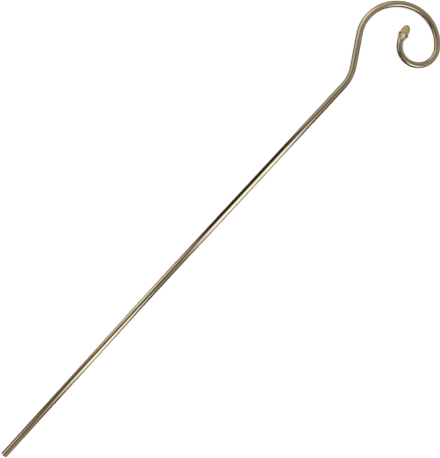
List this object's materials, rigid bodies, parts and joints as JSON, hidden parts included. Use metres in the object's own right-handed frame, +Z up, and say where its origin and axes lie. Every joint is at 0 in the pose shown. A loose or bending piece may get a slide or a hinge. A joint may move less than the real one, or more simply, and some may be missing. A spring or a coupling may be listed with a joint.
{
  "type": "bishop crosier",
  "caption": "Plain round tube staff, bent at the top into an open crook that curls into a small volute tipped with an acorn; it lies flat.",
  "frame": {"origin": "on the floor under the middle of the whole staff, which lies as it comes to rest on a flat floor", "axes": "+X along the shaft from the foot to the crook, +Y towards the side that the neck bends out to, +Z up from the floor, across the plane of the crook"},
  "size_m": [1.7996, 0.2424, 0.0326],
  "materials": {
    "tube_brass": "drawn brass tube, satin polished and toned a greyish brown",
    "cast_brass": "cast brass, softly polished on the high places and darker in the hollows"
  },
  "bodies": {
    "root": {"staff_tube": "tube_brass", "acorn_finial": "cast_brass"}
  },
  "joints": []
}
